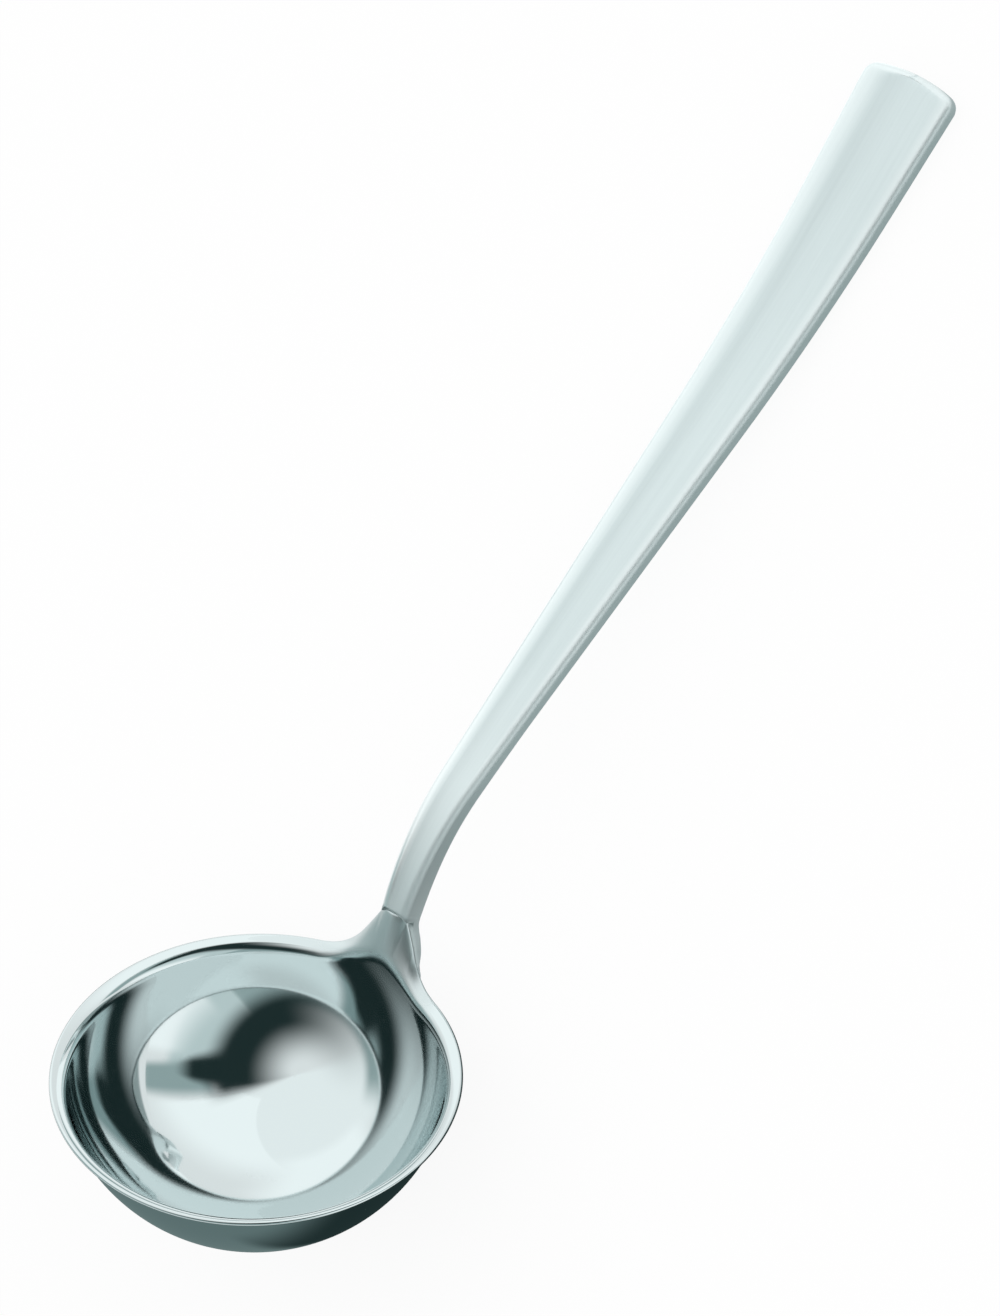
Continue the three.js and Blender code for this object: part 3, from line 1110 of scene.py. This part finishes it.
@dataclass
class Bead:
    """The fillet of brazing metal round the lower end of the foot. Sizes are in millimetres."""

    handle: Handle
    width: float = 1.0
    height: float = 0.95
    tuck: float = 0.25
    sink: float = 0.02
    steps: int = 56
    taper: float = 0.12
    thin_end: float = 0.04
    curve_steps: int = 6
    finish: Braze = field(default_factory=Braze)

    def profile(self) -> list[tuple[float, float]]:
        """Section as pairs of distance from the foot and height above the bowl.

        Returns:
            The corners of the section in order.
        """
        count = self.curve_steps
        hollow = [i / count * math.pi / 2 for i in range(count + 1)]
        curve = [
            (self.width * (1 - math.cos(a)), self.height * (1 - math.sin(a))) for a in hollow
        ]
        return [(-self.tuck, 0.0), (-self.tuck, self.height)] + curve

    def path(self) -> list[tuple[float, float]]:
        """Points of the foot's lower outline, across and along, from left to right.

        Returns:
            The points in order.
        """
        handle = self.handle
        points = []
        for i in range(self.steps + 1):
            angle = math.pi * i / self.steps
            height = mix(handle.foot_shoulder, -handle.foot_drop, math.sin(angle))
            side = -1 if i < self.steps / 2 else 1
            points.append((side * handle.foot_half(height), handle.distance_at(height)))
        return points

    def shape(self) -> Shape:
        """The finished shape in the ladle's own frame.

        Returns:
            The closed shape.
        """
        handle = self.handle
        profile = self.profile()
        path = self.path()
        shape = bmesh.new()
        index = shape.verts.layers.int.new("place")
        verts = bmesh.ops.create_circle(shape, segments=len(profile), radius=1.0)["verts"]
        for i, vert in enumerate(verts):
            vert[index] = i
        for number, (x, distance) in enumerate(path):
            if number:
                verts = next_ring(shape, verts)
            before, after = path[max(number - 1, 0)], path[min(number + 1, self.steps)]
            out = Vector((after[1] - before[1], before[0] - after[0])).normalized()
            share = min(number, self.steps - number) / self.steps
            size = mix(self.thin_end, 1.0, math.sqrt(min(share / self.taper, 1.0)))
            for vert in verts:
                reach, rise = profile[vert[index]]
                place = Vector((x, distance)) + out * reach * size
                depth = handle.seat(place.x, place.y) - self.sink + rise * size
                vert.co = handle.point(place.x, place.y, depth)
        ends = [e for e in shape.edges if e.is_boundary]
        bmesh.ops.holes_fill(shape, edges=ends, sides=len(profile))
        bmesh.ops.remove_doubles(shape, verts=shape.verts[:], dist=MERGE)
        bmesh.ops.recalc_face_normals(shape, faces=shape.faces[:])
        return shape

    def build(self, shape: Shape) -> Thing:
        """Dress the shape and lay it on the table."""
        return piece_from(shape, "braze_fillet", Node.BEAD, self.finish)


@dataclass(frozen=True)
class Viewpoint:
    """The photograph's camera, as fitted to the rim and the handle in the ladle's own frame."""

    azimuth: float = math.radians(39.0)
    elevation: float = math.radians(42.17)
    roll: float = math.radians(0.64)
    rim_pixel: Span = (255.86, 1075.42)
    image: tuple[int, int] = (1000, 1316)
    pixels_per_mm: float = 6.70
    distance: float = 1500.0
    sensor: float = 36.0
    clip: Span = (0.05, 50.0)

    def build(self) -> Thing:
        """Make the camera and give it to the scene.

        Returns:
            The camera.
        """
        flat = Vector((math.sin(self.azimuth), -math.cos(self.azimuth), 0.0))
        back = flat * math.cos(self.elevation) + Vector((0, 0, math.sin(self.elevation)))
        level = Vector((math.cos(self.azimuth), math.sin(self.azimuth), 0.0))
        lift = back.cross(level)
        right = math.cos(self.roll) * level - math.sin(self.roll) * lift
        up = math.sin(self.roll) * level + math.cos(self.roll) * lift
        off_x = (self.rim_pixel[0] - self.image[0] / 2) / self.pixels_per_mm
        off_y = (self.image[1] / 2 - self.rim_pixel[1]) / self.pixels_per_mm
        place = self.distance * back - off_x * right - off_y * up
        turn = Matrix((right, up, back)).transposed().to_4x4()
        tilt = Matrix.Rotation(-REST_SLOPE, 4, "X")
        data = bpy.data.cameras.new("photo_camera")
        data.sensor_fit = "AUTO"
        data.sensor_width = self.sensor
        data.lens = self.distance * self.pixels_per_mm * self.sensor / max(self.image)
        data.clip_start, data.clip_end = self.clip
        camera = bpy.data.objects.new("photo_camera", data)
        camera.matrix_world = Matrix.Translation(on_table() @ place) @ tilt @ turn
        bpy.context.scene.collection.objects.link(camera)
        bpy.context.scene.camera = camera
        return camera


# Columns and rows of a card, and the least share of it that an edge takes to fade.
CARD_GRID = (60, 48)
LEAST_SOFT = 1e-3

# White of the surround and of the floor.
PLAIN_WHITE = (1.0, 1.0, 1.0, 1.0)


@dataclass(frozen=True)
class Card:
    """A studio card that only the steel sees, soft towards its edges."""

    name: str
    glow: tuple[float, float, float]
    soft: tuple[float, float, float, float]

    def place(self, across: float, along: float) -> Vector:
        """Place of a point of the card, given by its shares of the width and the height."""
        raise NotImplementedError

    def cover(self, across: float, along: float) -> float:
        """How much of what lies behind the card it covers at a point, from 0 to 1.

        Args:
            across: Share of the width.
            along: Share of the height.

        Returns:
            Zero on the soft edges and one inside them.
        """
        left, right, low, high = (max(share, LEAST_SOFT) for share in self.soft)
        sides = ease(across, 0, left) * ease(1 - across, 0, right)
        return sides * ease(along, 0, low) * ease(1 - along, 0, high)

    def material(self) -> bpy.types.Material:
        """Even glow that fades out where the card's cover does.

        Returns:
            The material, which reads the layer "cover".
        """
        material, graph = new_material(self.name)
        clear = graph.node("BsdfTransparent")
        glow = graph.node("Emission", None, {"Color": (*self.glow, 1.0), "Strength": 1.0})
        surface = graph.node("MixShader", None, {0: graph.layer("cover"), 1: clear, 2: glow})
        graph.node("OutputMaterial", None, {"Surface": surface})
        material.cycles.emission_sampling = "NONE"
        return material

    def build(self) -> Thing:
        """Make the card and keep it out of all but the reflections.

        Returns:
            The object of the card.
        """
        shape = bmesh.new()
        columns, rows = CARD_GRID
        bmesh.ops.create_grid(shape, x_segments=columns, y_segments=rows, size=0.5)
        cover = shape.verts.layers.float.new("cover")
        for vert in shape.verts:
            across, along = vert.co.x + 0.5, vert.co.y + 0.5
            vert[cover] = self.cover(across, along)
            vert.co = self.place(across, along)
        card = object_from(shape, self.name)
        card.data.materials.append(self.material())
        card.visible_camera = False
        card.visible_diffuse = False
        card.visible_shadow = False
        card.visible_transmission = False
        return card


@dataclass(frozen=True)
class Screen(Card):
    """A curved card round the bowl between four corners of azimuth and elevation in degrees.

    The azimuth runs from -Y towards +X. The corners are the lower two and then the upper two.
    """

    corners: tuple[Span, Span, Span, Span] = ((0, 0), (90, 0), (0, 45), (90, 45))
    distance: float = 1.0

    def place(self, across: float, along: float) -> Vector:
        """Place of a point of the screen.

        Args:
            across: Share of the width.
            along: Share of the height.

        Returns:
            The place in metres.
        """
        low, high = (
            Vector(first).lerp(Vector(last), across)
            for first, last in (self.corners[:2], self.corners[2:])
        )
        turn, rise = (math.radians(angle) for angle in low.lerp(high, along))
        out = Vector((math.sin(turn), -math.cos(turn))) * math.cos(rise)
        return REST_SHIFT + self.distance * Vector((out.x, out.y, math.sin(rise)))


@dataclass(frozen=True)
class Mat(Card):
    """A flat card just above the floor, in metres, that paints the floor's light and shade into the
    steel's reflections.
    """

    low: Span = (-0.1, -0.1)
    high: Span = (0.1, 0.1)
    lift: float = 0.0003

    def place(self, across: float, along: float) -> Vector:
        """Place of a point of the mat.

        Args:
            across: Share of the width.
            along: Share of the height.

        Returns:
            The place in metres.
        """
        x = mix(self.low[0], self.high[0], across)
        y = mix(self.low[1], self.high[1], along)
        return Vector((x, y, self.lift))


# Levels of the cards, faintly green as the room that the steel mirrors.
BLACK = (0.018, 0.034, 0.034)
DUSK = (0.15, 0.21, 0.21)
SHADE = (0.33, 0.39, 0.39)
GREY = (0.37, 0.47, 0.47)
MILK = (0.66, 0.76, 0.76)
PALE = (1.10, 1.12, 1.12)
WHITE = (1.20, 1.22, 1.22)


@dataclass
class Studio:
    """Pale floor, white surround, and cards that only the steel's reflections show."""

    floor_half: float = 6.0
    white: float = 1.0
    floor_pale: float = 0.95
    floor_share: float = 0.9
    mirror_bounces: int = 8

    def cards(self) -> list[Card]:
        """The cards, each with its soft edges as shares of its width and height.

        Returns:
            The cards.
        """
        sky = ((-225, 22), (-40, 22), (-225, 90), (-40, 90))
        window = ((57, 8), (125, 9), (58, 52), (112, 52))
        low_window = ((68, -7), (121, -8), (76, 37), (115, 27))
        left = ((-165, 1), (-91, 0), (-160, 42), (-91, 43))
        behind = ((137, -10), (232, 22), (141, 60), (156, 68))
        front = ((-94, -2), (65, -2), (-88, 46), (63, 56))
        leg = ((124, -14), (140, -14), (109, 42), (143, 46))
        dark_leg = ((119, 16), (126, 17), (94, 48), (140, 52))
        bar = ((-86, 33), (150, 33), (-93, 76), (145, 95))
        return [
            Screen("card_sky", PALE, (0.1, 0.1, 0.2, 0.0), sky, 1.55),
            Screen("card_left", WHITE, (0.38, 0.19, 0.23, 0.22), left, 1.5),
            Screen("card_behind", WHITE, (0.07, 0.02, 0.4, 0.05), behind, 1.45),
            Screen("card_window", MILK, (0.08, 0.02, 0.21, 0.05), window, 1.4),
            Screen("card_low_window", WHITE, (0.16, 0.16, 0.2, 0.67), low_window, 1.35),
            Screen("flag_front", GREY, (0.15, 0.02, 0.06, 0.15), front, 1.3),
            Screen("flag_leg", GREY, (0.26, 0.35, 0.27, 0.11), leg, 1.25),
            Screen("flag_dark_leg", BLACK, (0.34, 0.3, 0.41, 0.05), dark_leg, 1.2),
            Screen("flag_bar", BLACK, (0.53, 0.07, 0.27, 0.53), bar, 1.15),
            Mat("mat_front", DUSK, (0.1, 0.1, 0.1, 0.1), (-0.09, -0.19), (0.12, -0.05), 0.0002),
            Mat("mat_side", SHADE, (0.02, 0.3, 0.2, 0.2), (0.003, -0.07), (0.12, 0.14), 0.0003),
            Mat("mat_left", GREY, (0.2, 0.08, 0.12, 0.2), (-0.17, -0.01), (-0.062, 0.17), 0.0004),
            Mat("mat_bright", WHITE, (0.3, 0.02, 0.2, 0.2), (-0.06, -0.06), (-0.003, 0.15), 0.0005),
            Mat("mat_dark", BLACK, (0.1, 0.3, 0.3, 0.2), (0.007, -0.135), (0.085, -0.02), 0.0006),
        ]

    def light_path(self, graph: Graph) -> Wire:
        """One for rays from the camera or from metal and glass, and zero for the rest.

        Args:
            graph: The tree to add the nodes to.

        Returns:
            The wire of that value.
        """
        names = ("Is Camera Ray", "Is Glossy Ray", "Is Transmission Ray")
        rays = [graph.node("LightPath", None, None, name) for name in names]
        return rays[0] | rays[1] | rays[2]

    def surround(self) -> None:
        """White surround that lights the ladle from all round."""
        world = bpy.data.worlds.new("studio_white")
        world.use_nodes = True
        graph = Graph(world.node_tree)
        shade = graph.node("Background", None, {"Color": PLAIN_WHITE, "Strength": self.white})
        graph.node("OutputWorld", None, {"Surface": shade})
        bpy.context.scene.world = world

    def floor(self) -> Thing:
        """Pale floor that keeps a faint shadow.

        Returns:
            The object of the floor.
        """
        shape = bmesh.new()
        bmesh.ops.create_grid(shape, x_segments=1, y_segments=1, size=self.floor_half)
        floor = object_from(shape, "studio_floor")
        material, graph = new_material("floor_white")
        pale = (self.floor_pale, self.floor_pale, self.floor_pale, 1.0)
        matt = graph.node("BsdfDiffuse", None, {"Color": pale})
        glow = graph.node("Emission", None, {"Color": PLAIN_WHITE, "Strength": 1.0})
        share = self.floor_share * self.light_path(graph)
        surface = graph.node("MixShader", None, {0: share, 1: matt, 2: glow})
        graph.node("OutputMaterial", None, {"Surface": surface})
        floor.data.materials.append(material)
        return floor

    def build(self) -> None:
        """Set up the studio."""
        self.surround()
        self.floor()
        for card in self.cards():
            card.build()
        scene = bpy.context.scene
        scene.view_settings.view_transform = "Standard"
        scene.cycles.glossy_bounces = self.mirror_bounces


def main() -> None:
    """Build the ladle round its frame and light it."""
    logging.basicConfig(level=logging.INFO, format="%(name)s: %(message)s")
    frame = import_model()
    LOG.info("frame has the nodes %s", sorted(frame["nodes"]))
    Viewpoint().build()
    bowl = Bowl()
    handle = Handle(bowl)
    bead = Bead(handle)
    bowl_shape = bowl.shape()
    handle_shape = handle.shape(BVHTree.FromBMesh(bowl_shape))
    bead_shape = bead.shape()
    pieces = [bowl.build(bowl_shape), handle.build(handle_shape), bead.build(bead_shape)]
    for piece in pieces:
        LOG.info("%s has %d faces", piece.name, len(piece.data.polygons))
    Studio().build()


if __name__ == "__main__":
    main()
